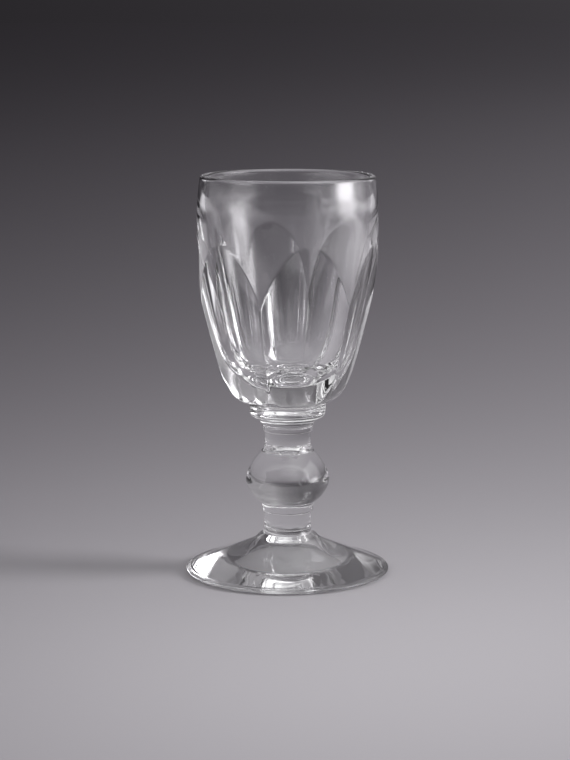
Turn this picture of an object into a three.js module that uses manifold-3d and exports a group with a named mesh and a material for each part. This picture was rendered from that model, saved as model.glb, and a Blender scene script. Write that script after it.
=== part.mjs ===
// Liqueur glass of clear cut crystal, in millimetres, with +Z up.
// The glass stands on the plane z = 0 and its axis is the Z axis. It is made of gathers of glass
// that are stuck to each other face to face while hot: a foot, a stem in five gathers, a merese
// and a fluted bowl. Sizes along the axis are the lengths of the pieces, stacked from the foot up.
import * as THREE from 'three';
import { mergeVertices } from 'three/addons/utils/BufferGeometryUtils.js';
import Module from 'manifold-3d';

// Facets round a turned piece and steps along one of its curves
const TURNED_SIDES = 48;
const ARC_STEPS = 4;
const FOOT_CURVE_STEPS = 15;
const FOOT_HOLLOW_STEPS = 18;
const KNOP_CURVE_STEPS = 12;
const BOWL_OUTSIDE_STEPS = 24;
const BOWL_INSIDE_STEPS = 18;
const FLUTE_CURVE_STEPS = 42;

// Foot
const FOOT_RADIUS = 24.67;
const FOOT_LIP_THICKNESS = 1.36;
const FOOT_LIP_ROUNDING = 1.45;
const FOOT_SKIRT_RADIUS = 21.0;
const FOOT_SKIRT_HEIGHT = 2.26;
const FOOT_SWEEP_RADIUS = 15.0;
const FOOT_SWEEP_HEIGHT = 4.7;
const FOOT_SHOULDER_RADIUS = 8.9;
const FOOT_SHOULDER_HEIGHT = 7.44;
const FOOT_THROAT_RADIUS = 6.97;
const FOOT_THROAT_HEIGHT = 9.0;
const FOOT_CONE_RADIUS = 6.07;
const FOOT_CONE_HEIGHT = 9.5;
const FOOT_NECK_HEIGHT = 1.7;
const FOOT_NECK_SWELL = 0.13;

// Hollow under the foot, a blunt cone that opens out to the flat ring that the glass stands on
const FOOT_HOLLOW_DEPTH = 7.5;
const FOOT_HOLLOW_CROWN_RADIUS = 3.5;
const FOOT_HOLLOW_CROWN_HEIGHT = 6.9;
const FOOT_HOLLOW_UPPER_RADIUS = 6.0;
const FOOT_HOLLOW_UPPER_HEIGHT = 5.4;
const FOOT_HOLLOW_MIDDLE_RADIUS = 9.0;
const FOOT_HOLLOW_MIDDLE_HEIGHT = 3.2;
const FOOT_HOLLOW_LOWER_RADIUS = 11.0;
const FOOT_HOLLOW_LOWER_HEIGHT = 1.6;
const FOOT_HOLLOW_EDGE_RADIUS = 13.0;
const FOOT_HOLLOW_EDGE_HEIGHT = 0.4;
const FOOT_REST_INNER_RADIUS = 14.5;

// Lower shank
const LOWER_SHANK_RADIUS = 5.7;
const LOWER_SHANK_LENGTH = 3.6;

// Lower collar
const LOWER_COLLAR_RADIUS = 6.25;
const LOWER_COLLAR_HEIGHT = 2.7;
const LOWER_COLLAR_ROUNDING = 0.45;

// Knop
const KNOP_RADIUS = 10.15;
const KNOP_HEIGHT = 12.2;
const KNOP_BELLY_HEIGHT = 5.2;
const KNOP_UNDER_RADIUS = 8.8;
const KNOP_UNDER_HEIGHT = 1.85;
const KNOP_BASE_RADIUS = 7.1;
const KNOP_SHOULDER_RADIUS = 8.65;
const KNOP_SHOULDER_HEIGHT = 9.2;
const KNOP_TOP_RADIUS = 6.3;

// Upper shank
const UPPER_SHANK_RADIUS = 5.6;
const UPPER_SHANK_LENGTH = 4.9;
const UPPER_SHANK_FLARE_RADIUS = 6.1;
const UPPER_SHANK_FLARE_HEIGHT = 2.2;

// Upper collar
const UPPER_COLLAR_RING_RADIUS = 6.05;
const UPPER_COLLAR_RING_HEIGHT = 1.4;
const UPPER_COLLAR_ROUNDING = 0.35;
const UPPER_COLLAR_CONE_RADIUS = 7.45;
const UPPER_COLLAR_HEIGHT = 3.4;

// Merese
const MERESE_RADIUS = 9.25;
const MERESE_THICKNESS = 3.4;
const MERESE_TOP_ROUNDING = 0.65;
const MERESE_BASE_ROUNDING = 1.2;

// Bowl, its heights measured from its seat on the merese
const BOWL_HEIGHT = 55.0;
const BOWL_SEAT_RADIUS = 8.5;
const BOWL_HEEL_RADIUS = 11.6;
const BOWL_HEEL_HEIGHT = 0.9;
const BOWL_TURN_RADIUS = 14.3;
const BOWL_TURN_HEIGHT = 3.6;
const BOWL_LOWER_RADIUS = 18.0;
const BOWL_LOWER_HEIGHT = 12.0;
const BOWL_WAIST_RADIUS = 20.95;
const BOWL_WAIST_HEIGHT = 24.6;
const BOWL_BELLY_RADIUS = 21.7;
const BOWL_BELLY_HEIGHT = 44.5;
const BOWL_RIM_RADIUS = 21.0;

// Walls of the bowl, from its outside or from the face of a flute to its inside
const RIM_WALL = 1.45;
const BELLY_WALL = 1.95;
const FLUTE_WALL = 1.5;
const FLUTE_LOWER_WALL = 2.0;
const BOWL_FLOOR_THICKNESS = 5.9;
const BOWL_FLOOR_RADIUS = 5.0;
const BOWL_FLOOR_RISE = 0.3;
const BOWL_BASIN_RADIUS = 10.2;
const BOWL_BASIN_RISE = 3.0;

// Flutes: flat cuts round the bowl, each as far from the axis as these radii at these heights
const FLUTE_COUNT = 6;
const FLUTE_END_RADIUS = 8.8;
const FLUTE_HEEL_RADIUS = 11.3;
const FLUTE_HEEL_HEIGHT = 1.3;
const FLUTE_TURN_RADIUS = 13.2;
const FLUTE_TURN_HEIGHT = 4.6;
const FLUTE_LOWER_RADIUS = 15.6;
const FLUTE_LOWER_HEIGHT = 13.5;
const FLUTE_MEETING_RADIUS = 18.15;
const FLUTE_MEETING_HEIGHT = 24.7;
const FLUTE_APEX_HEIGHT = 39.9;
const FLUTE_RUNOUT_RADIUS = 22.6;
const FLUTE_RUNOUT_HEIGHT = 44.0;

// Colour of the crystal
const CRYSTAL_COLOUR = 0xe9eaec;
const CRYSTAL_ROUGHNESS = 0.03;
const CRYSTAL_METALNESS = 0.0;

const wasm = await Module();
wasm.setup();

// Points of an arc of an ellipse in the plane of radius and height, angles in degrees from +radius
function arc(centreRadius, centreHeight, across, up, fromDegrees, toDegrees, steps = ARC_STEPS) {
  const points = [];
  for (let i = 0; i <= steps; i += 1) {
    const angle = THREE.MathUtils.degToRad(fromDegrees + ((toDegrees - fromDegrees) * i) / steps);
    points.push([centreRadius + across * Math.cos(angle), centreHeight + up * Math.sin(angle)]);
  }
  return points;
}

// Points of a smooth curve that passes through a few given points
function smooth(through, steps) {
  const curve = new THREE.SplineCurve(through.map(([r, z]) => new THREE.Vector2(r, z)));
  return curve.getPoints(steps).map((point) => [point.x, point.y]);
}

// Closed body turned about the Z axis from an outline that starts and ends on the axis
function turned(outline, sides = TURNED_SIDES, firstSideDegrees = 0) {
  const profile = outline.map(([r, z]) => new THREE.Vector2(Math.max(r, 0), z));
  const phase = THREE.MathUtils.degToRad(firstSideDegrees);
  const lathed = new THREE.LatheGeometry(profile, sides, phase);
  lathed.rotateX(Math.PI / 2);
  lathed.deleteAttribute('normal');
  lathed.deleteAttribute('uv');
  const merged = mergeVertices(lathed);
  const kept = [];
  const index = merged.getIndex().array;
  for (let i = 0; i < index.length; i += 3) {
    const [a, b, c] = [index[i], index[i + 1], index[i + 2]];
    if (a !== b && b !== c && c !== a) {
      kept.push(a, b, c);
    }
  }
  merged.setIndex(kept);
  return merged;
}

// Solid for joining and cutting, made from a closed geometry
function solidOf(geometry) {
  return new wasm.Manifold(new wasm.Mesh({
    numProp: 3,
    vertProperties: new Float32Array(geometry.getAttribute('position').array),
    triVerts: new Uint32Array(geometry.getIndex().array),
  }));
}

// Geometry made from a solid
function geometryOf(solid) {
  const mesh = solid.getMesh();
  const geometry = new THREE.BufferGeometry();
  geometry.setAttribute('position', new THREE.BufferAttribute(new Float32Array(mesh.vertProperties), 3));
  geometry.setIndex(new THREE.BufferAttribute(new Uint32Array(mesh.triVerts), 1));
  return geometry;
}

// Foot: a rounded lip, a conical hollow inside a flat resting ring, a sweep up to a cone and a short
// swelling neck that carries the lower shank
function footGeometry() {
  const halfLip = FOOT_LIP_THICKNESS / 2;
  const restOuter = FOOT_RADIUS - FOOT_LIP_ROUNDING;
  const underside = smooth([
    [0, FOOT_HOLLOW_DEPTH],
    [FOOT_HOLLOW_CROWN_RADIUS, FOOT_HOLLOW_CROWN_HEIGHT],
    [FOOT_HOLLOW_UPPER_RADIUS, FOOT_HOLLOW_UPPER_HEIGHT],
    [FOOT_HOLLOW_MIDDLE_RADIUS, FOOT_HOLLOW_MIDDLE_HEIGHT],
    [FOOT_HOLLOW_LOWER_RADIUS, FOOT_HOLLOW_LOWER_HEIGHT],
    [FOOT_HOLLOW_EDGE_RADIUS, FOOT_HOLLOW_EDGE_HEIGHT],
    [FOOT_REST_INNER_RADIUS, 0],
  ], FOOT_HOLLOW_STEPS).map(([r, z]) => [r, Math.max(z, 0)]);
  const sweep = smooth([
    [restOuter, FOOT_LIP_THICKNESS],
    [FOOT_SKIRT_RADIUS, FOOT_SKIRT_HEIGHT],
    [FOOT_SWEEP_RADIUS, FOOT_SWEEP_HEIGHT],
    [FOOT_SHOULDER_RADIUS, FOOT_SHOULDER_HEIGHT],
    [FOOT_THROAT_RADIUS, FOOT_THROAT_HEIGHT],
    [FOOT_CONE_RADIUS, FOOT_CONE_HEIGHT],
  ], FOOT_CURVE_STEPS);
  const neckTop = FOOT_CONE_HEIGHT + FOOT_NECK_HEIGHT;
  const neckMiddle = FOOT_CONE_HEIGHT + FOOT_NECK_HEIGHT / 2;
  return turned([
    ...underside,
    ...arc(restOuter, halfLip, FOOT_LIP_ROUNDING, halfLip, -90, 90, 2 * ARC_STEPS),
    ...sweep.slice(1),
    [LOWER_SHANK_RADIUS + FOOT_NECK_SWELL, neckMiddle],
    [LOWER_SHANK_RADIUS, neckTop],
    [0, neckTop],
  ]);
}

// Lower shank: a plain round length of the stem
function lowerShankGeometry() {
  return turned([
    [0, 0],
    [LOWER_SHANK_RADIUS, 0],
    [LOWER_SHANK_RADIUS, LOWER_SHANK_LENGTH],
    [0, LOWER_SHANK_LENGTH],
  ]);
}

// Lower collar: a ring with rounded edges
function lowerCollarGeometry() {
  const round = LOWER_COLLAR_ROUNDING;
  const middle = LOWER_COLLAR_RADIUS - round;
  return turned([
    [0, 0],
    ...arc(middle, round, round, round, -90, 0),
    ...arc(middle, LOWER_COLLAR_HEIGHT - round, round, round, 0, 90),
    [0, LOWER_COLLAR_HEIGHT],
  ]);
}

// Knop: a swelling with a full underside and a longer shoulder
function knopGeometry() {
  return turned([
    [0, 0],
    ...smooth([
      [KNOP_BASE_RADIUS, 0],
      [KNOP_UNDER_RADIUS, KNOP_UNDER_HEIGHT],
      [KNOP_RADIUS, KNOP_BELLY_HEIGHT],
      [KNOP_SHOULDER_RADIUS, KNOP_SHOULDER_HEIGHT],
      [KNOP_TOP_RADIUS, KNOP_HEIGHT],
    ], KNOP_CURVE_STEPS),
    [0, KNOP_HEIGHT],
  ]);
}

// Upper shank: a round length of the stem that flares onto the knop
function upperShankGeometry() {
  return turned([
    [0, 0],
    [UPPER_SHANK_FLARE_RADIUS, 0],
    [(UPPER_SHANK_RADIUS + UPPER_SHANK_FLARE_RADIUS) / 2, UPPER_SHANK_FLARE_HEIGHT / 3],
    [UPPER_SHANK_RADIUS, UPPER_SHANK_FLARE_HEIGHT],
    [UPPER_SHANK_RADIUS, UPPER_SHANK_LENGTH],
    [0, UPPER_SHANK_LENGTH],
  ]);
}

// Upper collar: a ring with rounded edges that opens into a cone under the merese
function upperCollarGeometry() {
  const round = UPPER_COLLAR_ROUNDING;
  const middle = UPPER_COLLAR_RING_RADIUS - round;
  return turned([
    [0, 0],
    ...arc(middle, round, round, round, -90, 0),
    ...arc(middle, UPPER_COLLAR_RING_HEIGHT - round, round, round, 0, 60),
    [UPPER_COLLAR_CONE_RADIUS, UPPER_COLLAR_HEIGHT],
    [0, UPPER_COLLAR_HEIGHT],
  ]);
}

// Merese: a disc whose edge is rounded, more below than above
function mereseGeometry() {
  const baseAcross = MERESE_RADIUS - UPPER_COLLAR_CONE_RADIUS;
  const topMiddle = MERESE_RADIUS - MERESE_TOP_ROUNDING;
  return turned([
    [0, 0],
    ...arc(UPPER_COLLAR_CONE_RADIUS, MERESE_BASE_ROUNDING, baseAcross, MERESE_BASE_ROUNDING, -90, 0),
    ...arc(
      topMiddle, MERESE_THICKNESS - MERESE_TOP_ROUNDING, MERESE_TOP_ROUNDING, MERESE_TOP_ROUNDING, 0, 90,
    ),
    [0, MERESE_THICKNESS],
  ]);
}

// Blank of the bowl before it is cut: turned outside, rounded rim and smooth inside
function bowlBlankGeometry() {
  const lip = RIM_WALL / 2;
  const rimMiddle = BOWL_RIM_RADIUS - lip;
  const lipHeight = BOWL_HEIGHT - lip;
  const outside = smooth([
    [BOWL_SEAT_RADIUS, 0],
    [BOWL_HEEL_RADIUS, BOWL_HEEL_HEIGHT],
    [BOWL_TURN_RADIUS, BOWL_TURN_HEIGHT],
    [BOWL_LOWER_RADIUS, BOWL_LOWER_HEIGHT],
    [BOWL_WAIST_RADIUS, BOWL_WAIST_HEIGHT],
    [BOWL_BELLY_RADIUS, BOWL_BELLY_HEIGHT],
    [BOWL_RIM_RADIUS, lipHeight],
  ], BOWL_OUTSIDE_STEPS);
  const inside = smooth([
    [BOWL_RIM_RADIUS - RIM_WALL, lipHeight],
    [BOWL_BELLY_RADIUS - BELLY_WALL, BOWL_BELLY_HEIGHT],
    [FLUTE_MEETING_RADIUS - FLUTE_WALL, FLUTE_MEETING_HEIGHT],
    [FLUTE_LOWER_RADIUS - FLUTE_LOWER_WALL, FLUTE_LOWER_HEIGHT],
    [BOWL_BASIN_RADIUS, BOWL_FLOOR_THICKNESS + BOWL_BASIN_RISE],
    [BOWL_FLOOR_RADIUS, BOWL_FLOOR_THICKNESS + BOWL_FLOOR_RISE],
    [0, BOWL_FLOOR_THICKNESS],
  ], BOWL_INSIDE_STEPS);
  return turned([
    [0, 0],
    ...outside.slice(0, -1),
    ...arc(rimMiddle, lipHeight, lip, lip, 0, 180, 2 * ARC_STEPS),
    ...inside.slice(1),
  ]);
}

// Body that the cutting wheel leaves of a blank: one flat side for each flute, which curves in down the bowl
function flutedBodyGeometry() {
  const halfAngle = Math.PI / FLUTE_COUNT;
  const sides = smooth([
    [FLUTE_END_RADIUS, 0],
    [FLUTE_HEEL_RADIUS, FLUTE_HEEL_HEIGHT],
    [FLUTE_TURN_RADIUS, FLUTE_TURN_HEIGHT],
    [FLUTE_LOWER_RADIUS, FLUTE_LOWER_HEIGHT],
    [FLUTE_MEETING_RADIUS, FLUTE_MEETING_HEIGHT],
    [BOWL_BELLY_RADIUS, FLUTE_APEX_HEIGHT],
    [FLUTE_RUNOUT_RADIUS, FLUTE_RUNOUT_HEIGHT],
  ], FLUTE_CURVE_STEPS).map(([r, z]) => [r / Math.cos(halfAngle), z]);
  const [runoutCorner] = sides[sides.length - 1];
  return turned([
    [0, 0],
    ...sides,
    [runoutCorner, 2 * BOWL_HEIGHT],
    [0, 2 * BOWL_HEIGHT],
  ], FLUTE_COUNT, THREE.MathUtils.radToDeg(halfAngle));
}

// Bowl: the blank with its flutes cut
function bowlGeometry() {
  return geometryOf(solidOf(bowlBlankGeometry()).intersect(solidOf(flutedBodyGeometry())));
}

// The pieces from the foot up, each with its length along the axis
const STACK = [
  ['foot', footGeometry(), FOOT_CONE_HEIGHT + FOOT_NECK_HEIGHT],
  ['lower_shank', lowerShankGeometry(), LOWER_SHANK_LENGTH],
  ['lower_collar', lowerCollarGeometry(), LOWER_COLLAR_HEIGHT],
  ['knop', knopGeometry(), KNOP_HEIGHT],
  ['upper_shank', upperShankGeometry(), UPPER_SHANK_LENGTH],
  ['upper_collar', upperCollarGeometry(), UPPER_COLLAR_HEIGHT],
  ['merese', mereseGeometry(), MERESE_THICKNESS],
  ['bowl', bowlGeometry(), BOWL_HEIGHT],
];

const glass = new THREE.Group();
let seatHeight = 0;
for (const [name, geometry, length] of STACK) {
  const material = new THREE.MeshStandardMaterial({
    color: CRYSTAL_COLOUR,
    roughness: CRYSTAL_ROUGHNESS,
    metalness: CRYSTAL_METALNESS,
  });
  const mesh = new THREE.Mesh(geometry, material);
  mesh.name = name;
  mesh.position.z = seatHeight;
  glass.add(mesh);
  seatHeight += length;
}

export default glass;
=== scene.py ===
import math

import bpy
import numpy as np
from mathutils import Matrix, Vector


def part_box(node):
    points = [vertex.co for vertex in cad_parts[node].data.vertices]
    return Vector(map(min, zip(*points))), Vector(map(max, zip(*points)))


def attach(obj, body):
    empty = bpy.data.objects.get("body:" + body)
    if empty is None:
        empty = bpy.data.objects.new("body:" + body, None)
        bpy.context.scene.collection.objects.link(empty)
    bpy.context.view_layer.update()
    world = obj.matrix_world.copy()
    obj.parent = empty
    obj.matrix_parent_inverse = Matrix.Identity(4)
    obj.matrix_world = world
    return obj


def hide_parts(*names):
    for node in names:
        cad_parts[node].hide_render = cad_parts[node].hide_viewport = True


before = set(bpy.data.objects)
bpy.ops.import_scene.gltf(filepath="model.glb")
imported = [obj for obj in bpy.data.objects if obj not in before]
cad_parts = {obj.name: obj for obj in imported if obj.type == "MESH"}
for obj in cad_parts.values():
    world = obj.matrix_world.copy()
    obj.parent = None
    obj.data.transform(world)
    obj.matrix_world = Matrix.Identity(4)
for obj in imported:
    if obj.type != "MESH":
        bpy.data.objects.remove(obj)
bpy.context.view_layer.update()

# Sizes are in millimetres, except where a comment says metres. Times MM they are in metres.
MM = 0.001

# Fineness of the meshes, and a length that counts as nothing
ROUND_COLUMNS = 240
CURVE_STEPS = 14
FINE_CURVE_STEPS = 60
ARC_STEPS = 8
SHANK_STEPS = 8
TINY = 1e-6

# Material slots of a piece: its glass, and the insides of its fused joins
GLASS, JOIN = 0, 1

# Foot. Here and below, a pair is a radius and a height from the seat of its piece, and what isn't
# given here comes from the frame.
FOOT_LIP_THICKNESS = 1.36
FOOT_LIP_ROUNDING = 1.45
FOOT_HOLLOW = [
    (0.0, 7.5), (3.5, 6.9), (6.0, 5.4), (9.0, 3.2), (11.0, 1.6), (13.0, 0.4), (14.5, 0.0),
]
FOOT_SWEEP = [(21.0, 2.26), (15.0, 4.7), (8.9, 7.44), (6.97, 9.0)]
FOOT_CONE = (6.07, 9.5)
FOOT_NECK_SWELL = 0.13

# Stem, from the foot up
LOWER_SHANK_RADIUS = 5.7
LOWER_COLLAR_ROUNDING = 0.45
KNOP_BASE_RADIUS = 7.1
KNOP_UNDER = (8.8, 1.85)
KNOP_BELLY_HEIGHT = 5.2
KNOP_SHOULDER = (8.65, 9.2)
KNOP_TOP_RADIUS = 6.3
UPPER_SHANK_RADIUS = 5.6
UPPER_SHANK_FLARE_HEIGHT = 2.2
UPPER_COLLAR_RING = (6.05, 1.4)
UPPER_COLLAR_ROUNDING = 0.35
UPPER_COLLAR_ROUNDING_END = 60
MERESE_TOP_ROUNDING = 0.65
MERESE_BASE_ROUNDING = 1.2

# Bowl: outside before the flutes are cut, inside from the rim down, and face of a flute
BOWL_SEAT_RADIUS = 8.5
BOWL_OUTSIDE = [(8.5, 0.0), (11.6, 0.9), (14.3, 3.6), (18.0, 12.0), (20.95, 24.6), (21.7, 44.5)]
BOWL_RIM_RADIUS = 21.0
RIM_WALL = 1.45
BOWL_INSIDE = [(19.75, 44.5), (16.65, 24.7), (13.6, 13.5), (10.2, 8.9), (5.0, 6.2), (0.0, 5.9)]
FLUTE_COUNT = 6
FLUTE_FACE = [
    (8.8, 0.0), (11.3, 1.3), (13.2, 4.6), (15.6, 13.5), (18.15, 24.7), (21.7, 39.9), (22.6, 44.0),
]

# Mesh of the bowl. Rows and columns follow each cut edge at small offsets from it, and the
# sharpness sets how little the edge is rounded. Low and high rows are level, and those between them
# lean over to follow the arches.
EDGE_SHARPNESS = 500.0
EDGE_OFFSETS = (0.06, 0.14, 0.3, 0.6)
HALF_FLUTE_COLUMNS = 22
LOW_ROWS = 40
LOW_ROWS_CROWDING = 1.4
LEANING_ROWS = 22
HIGH_ROWS = 12
HIGHEST_ROW_CLEARANCE = 0.3
LEVEL_ROW_CLEARANCE = 2.2
STEEPEST_ROW = 3.0

# Arches: the bowl's radius there, the lowest height at which they are searched for as a share of
# the bowl's, the number of heights tried, and the step in radians over which their slope is taken
ARCH_RADIUS = BOWL_OUTSIDE[4][0]
ARCH_SEARCH_START = 0.4
ARCH_SEARCH_HEIGHTS = 4000
ARCH_SLOPE_STEP = 0.01

# Crystal. Limits are the values of a noise between which a feature sets in.
CRYSTAL_IOR = 1.54
CRYSTAL_CLEAR = (0.992, 0.992, 0.996)
CRYSTAL_DARK = (0.974, 0.978, 0.98)
CORD_SIZE = 9.0
CORD_DETAIL = 3.0
CORD_STRETCH = (1.0, 1.0, 0.25)
CORD_LIMITS = (0.3, 0.7)
MARK_SIZE = 6.0
MARK_DETAIL = 1.0
MARK_LIMITS = (0.6, 0.75)
MARK_ROUGHNESS = 0.012
SCRATCH_SIZE = 0.7
SCRATCH_DETAIL = 6.0
SCRATCH_LIMITS = (0.35, 0.65)
SCRATCH_SHARE = 0.6
WORN_HEIGHT = 0.3
WORN_ROUGHNESS = 0.04
WAVE_SIZE = 11.0
WAVE_DETAIL = 1.0
WAVE_HEIGHT = 0.03

# Camera, from the photograph's perspective: distance from the glass's axis, height above the table,
# tilt and turn in degrees, and the side step that puts the axis where the photograph has it
CAMERA_DISTANCE = 513.0
CAMERA_HEIGHT = 133.7
CAMERA_TILT = 9.6
CAMERA_TURN = -12.7
CAMERA_SIDE_STEP = -0.65
CAMERA_LENS = 102.1
CAMERA_CLIP = (0.01, 100.0)
RIGHTWARD = (math.cos(math.radians(CAMERA_TURN)), math.sin(math.radians(CAMERA_TURN)), 0.0)
BACKWARD = (-RIGHTWARD[1], RIGHTWARD[0], 0.0)

# How often light is followed through the glass, off its surface and through its joins
GLASS_BOUNCES = 32
GLOSSY_BOUNCES = 12
JOIN_BOUNCES = 64

# Faint purple of the photograph's greys: a share and a power of the grey for red, green and blue
GREY_TINT = ((0.998, 0.978), (0.993, 1.0), (1.002, 0.968))

# Paper, with distances in metres. Its grey is a share of the light that falls on it, and holds
# painted light: a painted glow that gets less with the distance from a place in front of the glass,
# and a painted side light that rises to the right, more steeply with every tenfold of the distance,
# up to a limit.
PAPER_DARKEST = 0.0465
PAINTED_GLOW_AT_ONE_METRE = 0.0515
PAINTED_GLOW_CENTRE_AHEAD = 0.078
PAINTED_GLOW_CENTRE_SIZE = 0.12
PAINTED_SIDE_SLOPE = 0.93
PAINTED_SIDE_SLOPE_PER_DECADE = 1.05
PAINTED_SIDE_DISTANCE = 0.1
PAINTED_SIDE_DECADES = (0.25, 1.41)
PAINTED_SIDE_BASE = 0.5
SIDE_LIMIT = 0.25

# The far end of the table as the glass shows it, between two distances in metres, and the painted
# patch of gathered light on the paper, whose edges are shares of the radius of the foot's hollow
TABLE_END = (1.3, 3.0)
TABLE_END_LIFT = 0.09
PAINTED_GATHERED_LIGHT = 0.7
PAINTED_GATHERED_EDGE = (1.0, 0.85)

# Mesh of the paper, in metres
PAPER_COLUMNS = 96
PAPER_ROWS = 24
PAPER_FIRST_ROW = 0.03
PAPER_REACH = 40.0
PAPER_GAP = 0.0001

# What stands round the paper: a dark horizon under a paler zenith, a wall behind the glass and a
# pale room behind the camera. Rises are the sines of the elevations between which a thing sets in,
# and WALL_TURN is where the room gives way to the wall, from -1 for the camera's side to 1 for the
# far side.
LIGHT_TINT = (1.01, 0.99, 1.02)
SOFT_LIGHT = 0.63
HORIZON_GREY = 0.0296
HORIZON_SIDE_SLOPE = 2.5
ZENITH_GREY = 0.4
ZENITH_SWEEP = 3.0
WALL_GREY = 0.12
WALL_RISE = (0.0, 0.12)
WALL_FOOT = 0.6
WALL_TURN = (-0.5, 0.5)
ROOM_GREY = 0.65
ROOM_RISE = (0.22, 0.5)

# Soft boxes, as the bowl's highlights show them, each for the crystal alone or for the paper alone.
# A turn is the degrees to the right of the camera's side, and fades are the shares of a box that
# fade out to its sides and to its ends. The power is in watts, for a brightness of 1.
CRYSTAL, PAPER = "crystal", "paper"
STRAIGHT_SHARE = 0.15
POWER_PER_SQUARE_METRE = 4
BOWL_MIDDLE = 80.0
TABLE_LAMP_HEIGHT = 1.0
FACING_SIDEWAYS, FACING_UP = 90, 180

# name, turn, degrees to each side, lowest and highest elevation, distance, brightness, fades
WALL_LAMPS = (
    ("key_core", 80, 21, -5.5, 18, 600, 5.6, (0.85, 0.65)),
    ("key_halo", 84, 34, -7.2, 44, 620, 1.5, (0.6, 0.5)),
    ("fill_core", -59, 15, -7.4, 4, 600, 1.0, (0.8, 0.6)),
    ("fill_halo", -60, 28, -7.2, 20, 620, 0.55, (0.7, 0.6)),
    ("top_box", 5, 40, 30, 50, 800, 0.7, (0.8, 0.8)),
)
SHADOW_LAMP = ("shadow_box", 86, 12, 10.5, 32, 3000, 25.0, (0.5, 0.5))

# name, turn, nearest and farthest distance, width, brightness, fades
TABLE_LAMPS = (
    ("key_table", 84, 200, 3000, 1100, 2.0, (0.7, 0.3)),
    ("fill_table", -64, 120, 2400, 800, 1.4, (0.7, 0.3)),
    ("left_side_table", -135, 300, 1000, 500, 0.6, (0.5, 0.5)),
    ("right_side_table", 135, 300, 1000, 500, 0.4, (0.5, 0.5)),
)


def size_of(node):
    """Lowest height, length along the axis and outer radius of a node, in millimetres."""
    low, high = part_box(node)
    return low.z / MM, (high.z - low.z) / MM, high.x / MM


def smooth(through, steps=CURVE_STEPS):
    """Points of a smooth curve through a few given points, steps of them to each stretch."""
    points = np.array(through, float)
    curve = []
    for i in range(len(points) - 1):
        before, start = points[max(i - 1, 0)], points[i]
        end, after = points[i + 1], points[min(i + 2, len(points) - 1)]
        leave, arrive = (end - before) / 2, (after - start) / 2
        for t in np.arange(steps) / steps:
            curve.append(
                (2 * start - 2 * end + leave + arrive) * t**3
                + (3 * end - 3 * start - 2 * leave - arrive) * t**2
                + leave * t
                + start
            )
    curve.append(points[-1])
    return [tuple(p) for p in curve]


def arc(centre, across, up, start, end, steps=ARC_STEPS):
    """Points of an arc of an ellipse, between two angles in degrees from the outward direction."""
    angles = np.radians(np.linspace(start, end, steps + 1))
    return [(centre[0] + across * math.cos(a), centre[1] + up * math.sin(a)) for a in angles]


class Rings:
    """A closed mesh of rings of points round the Z axis, with one point where it meets the axis."""

    def __init__(self, columns):
        self.columns = columns
        self.points = []
        self.faces = []
        self.slots = []
        self.sharp = []
        self.last = None

    def add(self, ring, slot, sharp=False):
        """Adds a ring, sharp or not, or a point on the axis, and joins it to the last one."""
        first = len(self.points)
        self.points.extend(ring)
        here = (first, len(ring))
        if self.last is not None:
            self._join(self.last, here, slot)
        if sharp and len(ring) > 1:
            n = self.columns
            self.sharp.extend((first + i, first + (i + 1) % n) for i in range(n))
        self.last = here

    def _join(self, below, above, slot):
        n = self.columns
        for i in range(n):
            j = (i + 1) % n
            if below[1] == 1:
                face = (below[0], above[0] + j, above[0] + i)
            elif above[1] == 1:
                face = (below[0] + i, below[0] + j, above[0])
            else:
                face = (below[0] + i, below[0] + j, above[0] + j, above[0] + i)
            self.faces.append(face)
            self.slots.append(slot)


def make_piece(name, rings, seat, node, materials):
    """Makes a piece from its rings, at its seat, and puts it in the place of its node."""
    mesh = bpy.data.meshes.new(name)
    points = [(x * MM, y * MM, (z + seat) * MM) for x, y, z in rings.points]
    mesh.from_pydata(points, [], rings.faces)
    for material in materials:
        mesh.materials.append(material)
    mesh.polygons.foreach_set("material_index", rings.slots)
    mesh.polygons.foreach_set("use_smooth", [True] * len(rings.faces))
    edges = {tuple(sorted(e.vertices)): e.index for e in mesh.edges}
    sharp = [False] * len(mesh.edges)
    for pair in rings.sharp:
        sharp[edges[tuple(sorted(pair))]] = True
    mesh.attributes.new("sharp_edge", "BOOLEAN", "EDGE").data.foreach_set("value", sharp)
    mesh.update()
    piece = bpy.data.objects.new(name, mesh)
    bpy.context.scene.collection.objects.link(piece)
    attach(piece, "root")
    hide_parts(node)


def turned(sections):
    """Rings of a turned body. Its sections of a slot and outline points meet at sharp edges."""
    rings = Rings(ROUND_COLUMNS)
    angles = np.arange(ROUND_COLUMNS) * 2 * math.pi / ROUND_COLUMNS
    for s, (slot, outline) in enumerate(sections):
        points = outline if s == 0 else outline[1:]
        for i, (r, z) in enumerate(points):
            ends = i == len(points) - 1 and s < len(sections) - 1
            if r < TINY:
                ring = [(0.0, 0.0, z)]
            else:
                ring = [(r * math.sin(a), -r * math.cos(a), z) for a in angles]
            rings.add(ring, slot, ends)
    return rings


def calc(tree, operation, *values):
    """A number worked out by a math node from numbers or other nodes' outputs."""
    node = tree.nodes.new("ShaderNodeMath")
    node.operation = operation
    for socket, value in zip(node.inputs, values):
        if isinstance(value, (int, float)):
            socket.default_value = value
        else:
            tree.links.new(value, socket)
    return node.outputs[0]


def measure(tree, operation, vector, other=None):
    """A number that a vector math node works out from a vector, and maybe from a fixed one."""
    node = tree.nodes.new("ShaderNodeVectorMath")
    node.operation = operation
    tree.links.new(vector, node.inputs[0])
    if other is not None:
        node.inputs[1].default_value = other
    return node.outputs["Value"]


def ramp(tree, value, start, end):
    """A number that goes smoothly from 0 to 1 as a value goes from a start to an end."""
    node = tree.nodes.new("ShaderNodeMapRange")
    node.interpolation_type = "SMOOTHERSTEP"
    node.inputs["From Min"].default_value = start
    node.inputs["From Max"].default_value = end
    tree.links.new(value, node.inputs["Value"])
    return node.outputs["Result"]


def limited(tree, value, low, high):
    """A number kept between two limits."""
    return calc(tree, "MAXIMUM", calc(tree, "MINIMUM", value, high), low)


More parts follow.
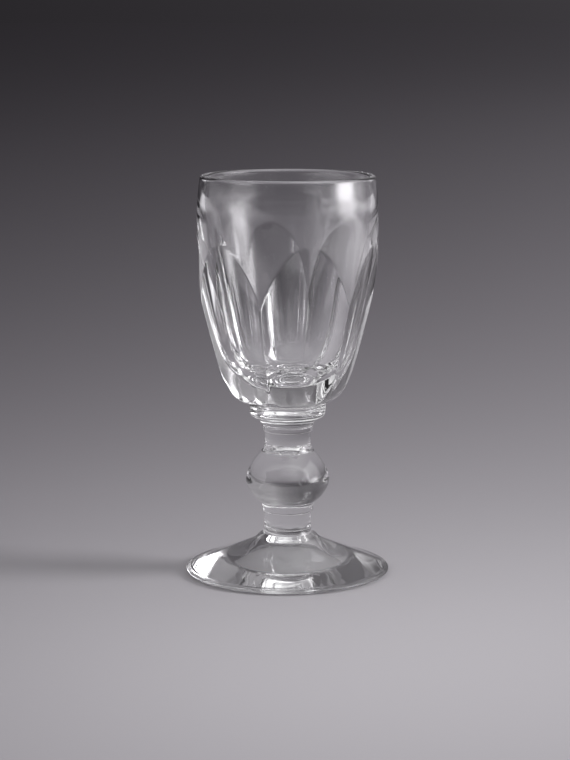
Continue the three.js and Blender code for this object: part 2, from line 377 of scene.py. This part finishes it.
def light_path(tree):
    """The light path, and a number that is 1 for a ray that comes from the glass."""
    path = tree.nodes.new("ShaderNodeLightPath").outputs
    return path, calc(tree, "MAXIMUM", path["Is Glossy Ray"], path["Is Transmission Ray"])


def noise(tree, where, size, detail):
    """A soft noise around 0.5, with features of a size in millimetres."""
    node = tree.nodes.new("ShaderNodeTexNoise")
    node.inputs["Scale"].default_value = 1 / (size * MM)
    node.inputs["Detail"].default_value = detail
    tree.links.new(where, node.inputs["Vector"])
    return node.outputs["Fac"]


def crystal(name, worn_height=0.0):
    """Clear crystal with faint cords, a skin that isn't quite even, marks and a worn base."""
    material = bpy.data.materials.new(name)
    material.use_nodes = True
    tree = material.node_tree
    shader = tree.nodes["Principled BSDF"]
    shader.inputs["IOR"].default_value = CRYSTAL_IOR
    shader.inputs["Transmission Weight"].default_value = 1.0
    where = tree.nodes.new("ShaderNodeTexCoord").outputs["Object"]

    # Cords: layers of slightly different glass, drawn out along the axis while the glass was soft
    stretched = tree.nodes.new("ShaderNodeMapping")
    stretched.inputs["Scale"].default_value = CORD_STRETCH
    tree.links.new(where, stretched.inputs["Vector"])
    cords = noise(tree, stretched.outputs["Vector"], CORD_SIZE, CORD_DETAIL)
    colour = tree.nodes.new("ShaderNodeMix")
    colour.data_type = "RGBA"
    colour.inputs["A"].default_value = (*CRYSTAL_DARK, 1)
    colour.inputs["B"].default_value = (*CRYSTAL_CLEAR, 1)
    tree.links.new(ramp(tree, cords, *CORD_LIMITS), colour.inputs["Factor"])
    tree.links.new(colour.outputs["Result"], shader.inputs["Base Color"])

    # Handling marks: small dull patches, and fine scratches on the ring that stands on the table
    marks = ramp(tree, noise(tree, where, MARK_SIZE, MARK_DETAIL), *MARK_LIMITS)
    roughness = calc(tree, "MULTIPLY", marks, MARK_ROUGHNESS)
    if worn_height:
        split = tree.nodes.new("ShaderNodeSeparateXYZ")
        tree.links.new(where, split.inputs[0])
        worn = ramp(tree, split.outputs["Z"], worn_height * MM, 0.0)
        scratches = ramp(tree, noise(tree, where, SCRATCH_SIZE, SCRATCH_DETAIL), *SCRATCH_LIMITS)
        scratches = calc(tree, "MULTIPLY_ADD", scratches, SCRATCH_SHARE, 1 - SCRATCH_SHARE)
        worn = calc(tree, "MULTIPLY", worn, scratches)
        roughness = calc(tree, "MULTIPLY_ADD", worn, WORN_ROUGHNESS, roughness)
    tree.links.new(roughness, shader.inputs["Roughness"])

    # Skin: the low waves that the tools and the fire leave
    bump = tree.nodes.new("ShaderNodeBump")
    bump.inputs["Distance"].default_value = WAVE_HEIGHT * MM
    tree.links.new(noise(tree, where, WAVE_SIZE, WAVE_DETAIL), bump.inputs["Height"])
    tree.links.new(bump.outputs["Normal"], shader.inputs["Normal"])
    return material


def joined():
    """The inside of a fused join, where the glass goes on without a surface."""
    material = bpy.data.materials.new("fused_join")
    material.use_nodes = True
    nodes, links = material.node_tree.nodes, material.node_tree.links
    nodes.remove(nodes["Principled BSDF"])
    clear = nodes.new("ShaderNodeBsdfTransparent")
    links.new(clear.outputs[0], nodes["Material Output"].inputs["Surface"])
    return material


def make_foot():
    seat, height, radius = size_of("foot")
    lip = FOOT_LIP_THICKNESS / 2
    rest_outer = radius - FOOT_LIP_ROUNDING
    underside = [(r, max(z, 0.0)) for r, z in smooth(FOOT_HOLLOW)]
    edge = arc((rest_outer, lip), FOOT_LIP_ROUNDING, lip, -90, 90, 2 * ARC_STEPS)
    sweep = smooth([(rest_outer, FOOT_LIP_THICKNESS), *FOOT_SWEEP, FOOT_CONE])
    neck = smooth([
        FOOT_CONE,
        (LOWER_SHANK_RADIUS + FOOT_NECK_SWELL, (FOOT_CONE[1] + height) / 2),
        (LOWER_SHANK_RADIUS, height),
    ])
    outside = underside + edge + sweep[1:] + neck[1:]
    top = [(LOWER_SHANK_RADIUS, height), (0, height)]
    rings = turned([(GLASS, outside), (JOIN, top)])
    make_piece("foot_glass", rings, seat, "foot", foot_glass)


def make_stem_piece(name, node, low_join, outside, high_join):
    """A gather of the stem between two joins, given their radii and the outline between them."""
    seat, height, _ = size_of(node)
    sections = [
        (JOIN, [(0, 0), (low_join, 0)]),
        (GLASS, [(low_join, 0)] + [p for p in outside if p != (low_join, 0)]),
        (JOIN, [(high_join, height), (0, height)]),
    ]
    make_piece(name, turned(sections), seat, node, stem_glass)


def make_stem():
    _, shank, _ = size_of("lower_shank")
    make_stem_piece("lower_shank_glass", "lower_shank", LOWER_SHANK_RADIUS, [
        (LOWER_SHANK_RADIUS, shank * i / SHANK_STEPS) for i in range(SHANK_STEPS + 1)
    ], LOWER_SHANK_RADIUS)

    _, height, radius = size_of("lower_collar")
    turn = LOWER_COLLAR_ROUNDING
    collar_top = radius - turn
    make_stem_piece("lower_collar_glass", "lower_collar", LOWER_SHANK_RADIUS, [
        *arc((collar_top, turn), turn, turn, -90, 0),
        *arc((collar_top, height - turn), turn, turn, 0, 90),
    ], collar_top)

    _, height, radius = size_of("knop")
    make_stem_piece("knop_glass", "knop", collar_top, smooth([
        (KNOP_BASE_RADIUS, 0),
        KNOP_UNDER,
        (radius, KNOP_BELLY_HEIGHT),
        KNOP_SHOULDER,
        (KNOP_TOP_RADIUS, height),
    ]), KNOP_TOP_RADIUS)

    _, height, flare = size_of("upper_shank")
    make_stem_piece("upper_shank_glass", "upper_shank", flare, smooth([
        (flare, 0),
        ((flare + UPPER_SHANK_RADIUS) / 2, UPPER_SHANK_FLARE_HEIGHT / 3),
        (UPPER_SHANK_RADIUS, UPPER_SHANK_FLARE_HEIGHT),
        (UPPER_SHANK_RADIUS, height),
    ]), UPPER_SHANK_RADIUS)

    _, height, cone = size_of("upper_collar")
    turn = UPPER_COLLAR_ROUNDING
    ring, ring_height = UPPER_COLLAR_RING
    make_stem_piece("upper_collar_glass", "upper_collar", UPPER_SHANK_RADIUS, [
        *arc((ring - turn, turn), turn, turn, -90, 0),
        *arc((ring - turn, ring_height - turn), turn, turn, 0, UPPER_COLLAR_ROUNDING_END),
        (cone, height),
    ], cone)

    _, height, radius = size_of("merese")
    top = MERESE_TOP_ROUNDING
    make_stem_piece("merese_glass", "merese", cone, [
        *arc((cone, MERESE_BASE_ROUNDING), radius - cone, MERESE_BASE_ROUNDING, -90, 0),
        *arc((radius - top, height - top), top, top, 0, 90),
        (BOWL_SEAT_RADIUS, height),
    ], BOWL_SEAT_RADIUS)


def make_bowl():
    seat, height, _ = size_of("bowl")
    lip = RIM_WALL / 2
    lip_height = height - lip
    blank = np.array(smooth(BOWL_OUTSIDE + [(BOWL_RIM_RADIUS, lip_height)], FINE_CURVE_STEPS))
    face = np.array(smooth(FLUTE_FACE, FINE_CURVE_STEPS))
    inside = smooth([(BOWL_RIM_RADIUS - RIM_WALL, lip_height)] + BOWL_INSIDE)

    def blank_radius(z):
        return np.interp(z, blank[:, 1], blank[:, 0])

    def face_distance(z):
        return np.interp(z, face[:, 1], face[:, 0])

    def outer_radius(angle, z):
        """Distance of the outside from the axis; angle is from the middle of the nearest flute."""
        terms = [-np.log(blank_radius(z)) + 0 * angle]
        for step in (-1, 0, 1):
            across = np.cos(angle - step * 2 * math.pi / FLUTE_COUNT)
            terms.append(np.log(np.maximum(across, TINY)) - np.log(face_distance(z)))
        terms = np.array(terms) * EDGE_SHARPNESS
        most = terms.max(axis=0)
        total = most + np.log(np.exp(terms - most).sum(axis=0))
        return np.exp(-total / EDGE_SHARPNESS)

    # The arch: the height at which a flute's face leaves the blank, at each angle from its middle
    heights = np.linspace(ARCH_SEARCH_START * height, lip_height, ARCH_SEARCH_HEIGHTS)
    open_angle = np.arccos(np.clip(face_distance(heights) / blank_radius(heights), -1, 1))
    heights, open_angle = heights[open_angle > 0], open_angle[open_angle > 0]
    half = math.pi / FLUTE_COUNT

    def arch_height(angle):
        return np.interp(-np.abs(angle), -open_angle, heights)

    apex = arch_height(0.0)
    cusp = arch_height(half)

    # Columns of half a flute, closer together towards the ridge
    ridge_gaps = np.array([0.0, *EDGE_OFFSETS]) / ARCH_RADIUS
    even = np.linspace(0, half - 2 * ridge_gaps[-1], HALF_FLUTE_COLUMNS)
    half_columns = np.concatenate([even, half - ridge_gaps[::-1]])
    flute = np.concatenate([-half_columns[:0:-1], half_columns[:-1]])
    local = np.tile(flute, FLUTE_COUNT)
    middles = np.repeat(np.arange(FLUTE_COUNT) * 2 * half, len(flute))
    angles = local + middles
    columns = len(angles)

    # Rows: level below the cusps, then leaning over to follow the arch, and back to level above it
    arch = arch_height(local)
    fall = arch_height(np.abs(local)) - arch_height(np.abs(local) + ARCH_SLOPE_STEP)
    slope = fall / (ARCH_SLOPE_STEP * ARCH_RADIUS)
    steep = np.sqrt(1 + np.clip(slope, 0, STEEPEST_ROW) ** 2)
    reach = EDGE_OFFSETS[-1] * steep
    level_below = cusp - LEVEL_ROW_CLEARANCE
    level_above = apex + LEVEL_ROW_CLEARANCE
    rows = [level_below * t**LOW_ROWS_CROWDING for t in np.linspace(0, 1, LOW_ROWS)]
    for t in np.linspace(0, 1, LEANING_ROWS)[1:-1]:
        rows.append(level_below * (1 - t) + (arch - reach) * t)
    for gap in (*(-g for g in reversed(EDGE_OFFSETS)), 0.0, *EDGE_OFFSETS):
        rows.append(arch + gap * steep)
    for t in np.linspace(0, 1, LEANING_ROWS)[1:-1]:
        rows.append((arch + reach) * (1 - t) + level_above * t)
    for t in np.linspace(0, 1, HIGH_ROWS):
        rows.append(level_above * (1 - t) + (lip_height - HIGHEST_ROW_CLEARANCE) * t)

    rings = Rings(columns)
    rings.add([(0.0, 0.0, 0.0)], JOIN)

    def ring_of(radii, zs):
        radii, zs = np.broadcast_to(radii, columns), np.broadcast_to(zs, columns)
        return [(r * math.sin(a), -r * math.cos(a), z) for r, a, z in zip(radii, angles, zs)]

    rings.add(ring_of(BOWL_SEAT_RADIUS, 0.0), JOIN, True)
    for z in rows[1:]:
        rings.add(ring_of(outer_radius(local, z), z), GLASS)
    for r, z in arc((BOWL_RIM_RADIUS - lip, lip_height), lip, lip, 0, 180, 3 * ARC_STEPS):
        rings.add(ring_of(r, z), GLASS)
    for r, z in inside[1:-1]:
        rings.add(ring_of(r, z), GLASS)
    rings.add([(0.0, 0.0, inside[-1][1])], GLASS)
    make_piece("bowl_glass", rings, seat, "bowl", bowl_glass)


def around(turn, distance, height):
    """A place at a turn in degrees to the right of the camera's side of the glass, in metres."""
    angle = math.radians(CAMERA_TURN + turn)
    return (distance * MM * math.sin(angle), -distance * MM * math.cos(angle), height * MM)


def tinted(tree, grey, socket):
    """Joins a grey to a colour socket, with the faint purple of the photograph's dark greys."""
    node = tree.nodes.new("ShaderNodeCombineColor")
    for channel, (share, power) in zip(node.inputs, GREY_TINT):
        tree.links.new(calc(tree, "MULTIPLY", calc(tree, "POWER", grey, power), share), channel)
    tree.links.new(node.outputs[0], socket)


def paper():
    """Pale paper with painted light: a glow fading with distance, a rise to the right, a patch in
    the foot.
    """
    material = bpy.data.materials.new("floor_paper")
    material.use_nodes = True
    tree = material.node_tree
    shader = tree.nodes["Principled BSDF"]
    shader.inputs["Roughness"].default_value = 1.0
    shader.inputs["Specular IOR Level"].default_value = 0.0
    where = tree.nodes.new("ShaderNodeTexCoord").outputs["Object"]

    # Painted glow: the grey falls with the distance from a place in front of the glass
    distance = measure(tree, "DISTANCE", where, around(0, PAINTED_GLOW_CENTRE_AHEAD / MM, 0))
    squared = calc(tree, "MULTIPLY_ADD", distance, distance, PAINTED_GLOW_CENTRE_SIZE**2)
    near = calc(tree, "INVERSE_SQRT", squared)
    painted_glow = calc(tree, "MULTIPLY_ADD", near, PAINTED_GLOW_AT_ONE_METRE, PAPER_DARKEST)

    # The glass bends the far end of the table into view, where the paper curves up into the wall
    _, glass = light_path(tree)
    far_end = calc(tree, "MULTIPLY", ramp(tree, distance, *TABLE_END), glass)
    grey = calc(tree, "MULTIPLY_ADD", far_end, TABLE_END_LIFT, painted_glow)

    # Painted side light: the grey rises to the right
    decades = calc(tree, "LOGARITHM", calc(tree, "DIVIDE", distance, PAINTED_SIDE_DISTANCE), 10.0)
    decades = limited(tree, decades, *PAINTED_SIDE_DECADES)
    slope = calc(tree, "MULTIPLY_ADD", decades, PAINTED_SIDE_SLOPE_PER_DECADE, PAINTED_SIDE_SLOPE)
    aside = measure(tree, "DOT_PRODUCT", where, RIGHTWARD)
    away = calc(tree, "ADD", measure(tree, "LENGTH", where), PAINTED_SIDE_BASE)
    side = limited(tree, calc(tree, "DIVIDE", aside, away), -SIDE_LIMIT, SIDE_LIMIT)
    grey = calc(tree, "MULTIPLY", grey, calc(tree, "EXPONENT", calc(tree, "MULTIPLY", slope, side)))

    # Painted light: the paper is lighter inside the ring of the foot, for light gathered by the
    # glass
    outer, inner = (share * FOOT_HOLLOW[-1][0] * MM for share in PAINTED_GATHERED_EDGE)
    painted_gathered = ramp(tree, measure(tree, "LENGTH", where), outer, inner)
    grey = calc(tree, "MULTIPLY", grey, calc(tree, "MULTIPLY_ADD", painted_gathered, PAINTED_GATHERED_LIGHT, 1.0))
    tinted(tree, grey, shader.inputs["Base Color"])
    return material


def make_floor():
    rings = Rings(PAPER_COLUMNS)
    rings.add([(0.0, 0.0, -PAPER_GAP)], 0)
    angles = np.arange(PAPER_COLUMNS) * 2 * math.pi / PAPER_COLUMNS
    for r in np.geomspace(PAPER_FIRST_ROW, PAPER_REACH, PAPER_ROWS):
        rings.add([(r * math.sin(a), -r * math.cos(a), -PAPER_GAP) for a in angles], 0)
    mesh = bpy.data.meshes.new("floor")
    # The rings' faces look down, and the paper is seen from above
    mesh.from_pydata(rings.points, [], [tuple(reversed(f)) for f in rings.faces])
    mesh.materials.append(paper())
    floor = bpy.data.objects.new("floor", mesh)
    bpy.context.scene.collection.objects.link(floor)


def make_world():
    """Soft light from all round, and the dark backdrop that the camera and the glass see."""
    world = bpy.data.worlds.new("studio")
    bpy.context.scene.world = world
    world.use_nodes = True
    tree = world.node_tree
    soft = tree.nodes["Background"]
    soft.inputs["Color"].default_value = (*LIGHT_TINT, 1)
    soft.inputs["Strength"].default_value = SOFT_LIGHT
    seen = tree.nodes.new("ShaderNodeBackground")
    path, glass = light_path(tree)
    where = tree.nodes.new("ShaderNodeTexCoord").outputs["Generated"]
    up = calc(tree, "MAXIMUM", measure(tree, "DOT_PRODUCT", where, (0, 0, 1)), 0.0)
    behind = ramp(tree, measure(tree, "DOT_PRODUCT", where, BACKWARD), *WALL_TURN)

    # From the horizon to the zenith
    level = calc(tree, "POWER", up, ZENITH_SWEEP)
    level = calc(tree, "MULTIPLY_ADD", level, ZENITH_GREY - HORIZON_GREY, HORIZON_GREY)

    # The wall behind the glass, which goes on down to the table where the glass shows it
    foot = calc(tree, "MULTIPLY", glass, WALL_FOOT)
    wall = calc(tree, "MULTIPLY", calc(tree, "MAXIMUM", ramp(tree, up, *WALL_RISE), foot), behind)
    level = calc(tree, "MULTIPLY_ADD", wall, WALL_GREY, level)

    # The pale room behind the camera, which the bowl's inside reflects
    room = calc(tree, "MULTIPLY", ramp(tree, up, *ROOM_RISE), calc(tree, "SUBTRACT", 1.0, behind))
    level = calc(tree, "MULTIPLY_ADD", room, ROOM_GREY, level)

    # Rise to the right, as the paper's
    side = limited(tree, measure(tree, "DOT_PRODUCT", where, RIGHTWARD), -SIDE_LIMIT, SIDE_LIMIT)
    rise = calc(tree, "EXPONENT", calc(tree, "MULTIPLY", side, HORIZON_SIDE_SLOPE))
    tinted(tree, calc(tree, "MULTIPLY", level, rise), seen.inputs["Color"])

    # The paper is lit by the soft light, through the glass too, and not by the backdrop
    direct = calc(tree, "MAXIMUM", path["Is Camera Ray"], glass)
    before_paper = calc(tree, "LESS_THAN", path["Diffuse Depth"], 1.0)
    mix = tree.nodes.new("ShaderNodeMixShader")
    tree.links.new(calc(tree, "MULTIPLY", direct, before_paper), mix.inputs["Fac"])
    tree.links.new(soft.outputs[0], mix.inputs[1])
    tree.links.new(seen.outputs[0], mix.inputs[2])
    tree.links.new(mix.outputs[0], tree.nodes["World Output"].inputs["Surface"])


def make_lamp(name, turn, place, tip, size, brightness, fades, lights):
    """A soft box of a width and a length, tipped up by some degrees from facing down."""
    lamp = bpy.data.lights.new(name, "AREA")
    lamp.shape = "RECTANGLE"
    lamp.color = LIGHT_TINT
    lamp.size, lamp.size_y = (length * MM for length in size)
    lamp.energy = POWER_PER_SQUARE_METRE * brightness * lamp.size * lamp.size_y
    box = bpy.data.objects.new(name, lamp)
    bpy.context.scene.collection.objects.link(box)
    box.location = place
    box.rotation_euler = (math.radians(tip), 0, math.radians(CAMERA_TURN + turn))
    box.visible_camera = False
    box.visible_diffuse = lights == PAPER
    box.visible_glossy = lights == CRYSTAL
    box.visible_transmission = lights == CRYSTAL
    lamp.use_nodes = True
    tree = lamp.node_tree

    # Fade out to the sides and the ends
    offset = tree.nodes.new("ShaderNodeVectorMath")
    offset.operation = "SUBTRACT"
    tree.links.new(tree.nodes.new("ShaderNodeNewGeometry").outputs["Position"], offset.inputs[0])
    offset.inputs[1].default_value = box.location
    level = 1.0
    for axis, length, fade in zip(box.rotation_euler.to_matrix().col, size, fades):
        along = measure(tree, "DOT_PRODUCT", offset.outputs[0], axis)
        half = length * MM / 2
        inside = ramp(tree, calc(tree, "ABSOLUTE", along), half, half * (1 - fade))
        level = calc(tree, "MULTIPLY", inside, level)

    # Seen straight through the crystal, and not in a reflection, a box is mostly out of the way
    if lights == CRYSTAL:
        depth = tree.nodes.new("ShaderNodeLightPath").outputs["Glossy Depth"]
        reflected = calc(tree, "MINIMUM", depth, 1.0)
        seen = calc(tree, "MULTIPLY_ADD", reflected, 1 - STRAIGHT_SHARE, STRAIGHT_SHARE)
        level = calc(tree, "MULTIPLY", level, seen)
    tree.links.new(level, tree.nodes["Emission"].inputs["Strength"])


def make_wall_lamp(name, turn, spread, low, high, distance, brightness, fades, lights):
    """An upright soft box with its degrees to each side and its elevations."""
    bottom = BOWL_MIDDLE + distance * math.tan(math.radians(low))
    top = BOWL_MIDDLE + distance * math.tan(math.radians(high))
    size = (2 * distance * math.tan(math.radians(spread)), top - bottom)
    place = around(turn, distance, (bottom + top) / 2)
    make_lamp(name, turn, place, FACING_SIDEWAYS, size, brightness, fades, lights)


def make_table_lamp(name, turn, near, far, width, brightness, fades):
    """A glow that lies on the table between two distances, as the table under a soft box shows."""
    place = around(turn, (near + far) / 2, TABLE_LAMP_HEIGHT)
    make_lamp(name, turn, place, FACING_UP, (width, far - near), brightness, fades, CRYSTAL)


def make_camera():
    data = bpy.data.cameras.new("camera")
    data.lens = CAMERA_LENS
    data.clip_start, data.clip_end = CAMERA_CLIP
    camera = bpy.data.objects.new("camera", data)
    bpy.context.scene.collection.objects.link(camera)
    ahead = around(0, CAMERA_DISTANCE, CAMERA_HEIGHT)
    camera.location = [a + CAMERA_SIDE_STEP * MM * r for a, r in zip(ahead, RIGHTWARD)]
    camera.rotation_euler = (math.radians(90 - CAMERA_TILT), 0, math.radians(CAMERA_TURN))
    bpy.context.scene.camera = camera


join = joined()
stem_glass = [crystal("stem_crystal"), join]
foot_glass = [crystal("foot_crystal", WORN_HEIGHT), join]
bowl_glass = [crystal("bowl_crystal"), join]
make_foot()
make_stem()
make_bowl()

make_floor()
make_world()
for wall_lamp in WALL_LAMPS:
    make_wall_lamp(*wall_lamp, CRYSTAL)
for table_lamp in TABLE_LAMPS:
    make_table_lamp(*table_lamp)
make_wall_lamp(*SHADOW_LAMP, PAPER)
make_camera()

scene = bpy.context.scene
scene.view_settings.view_transform = "Standard"
scene.cycles.max_bounces = GLASS_BOUNCES
scene.cycles.transmission_bounces = GLASS_BOUNCES
scene.cycles.glossy_bounces = GLOSSY_BOUNCES
scene.cycles.transparent_max_bounces = JOIN_BOUNCES
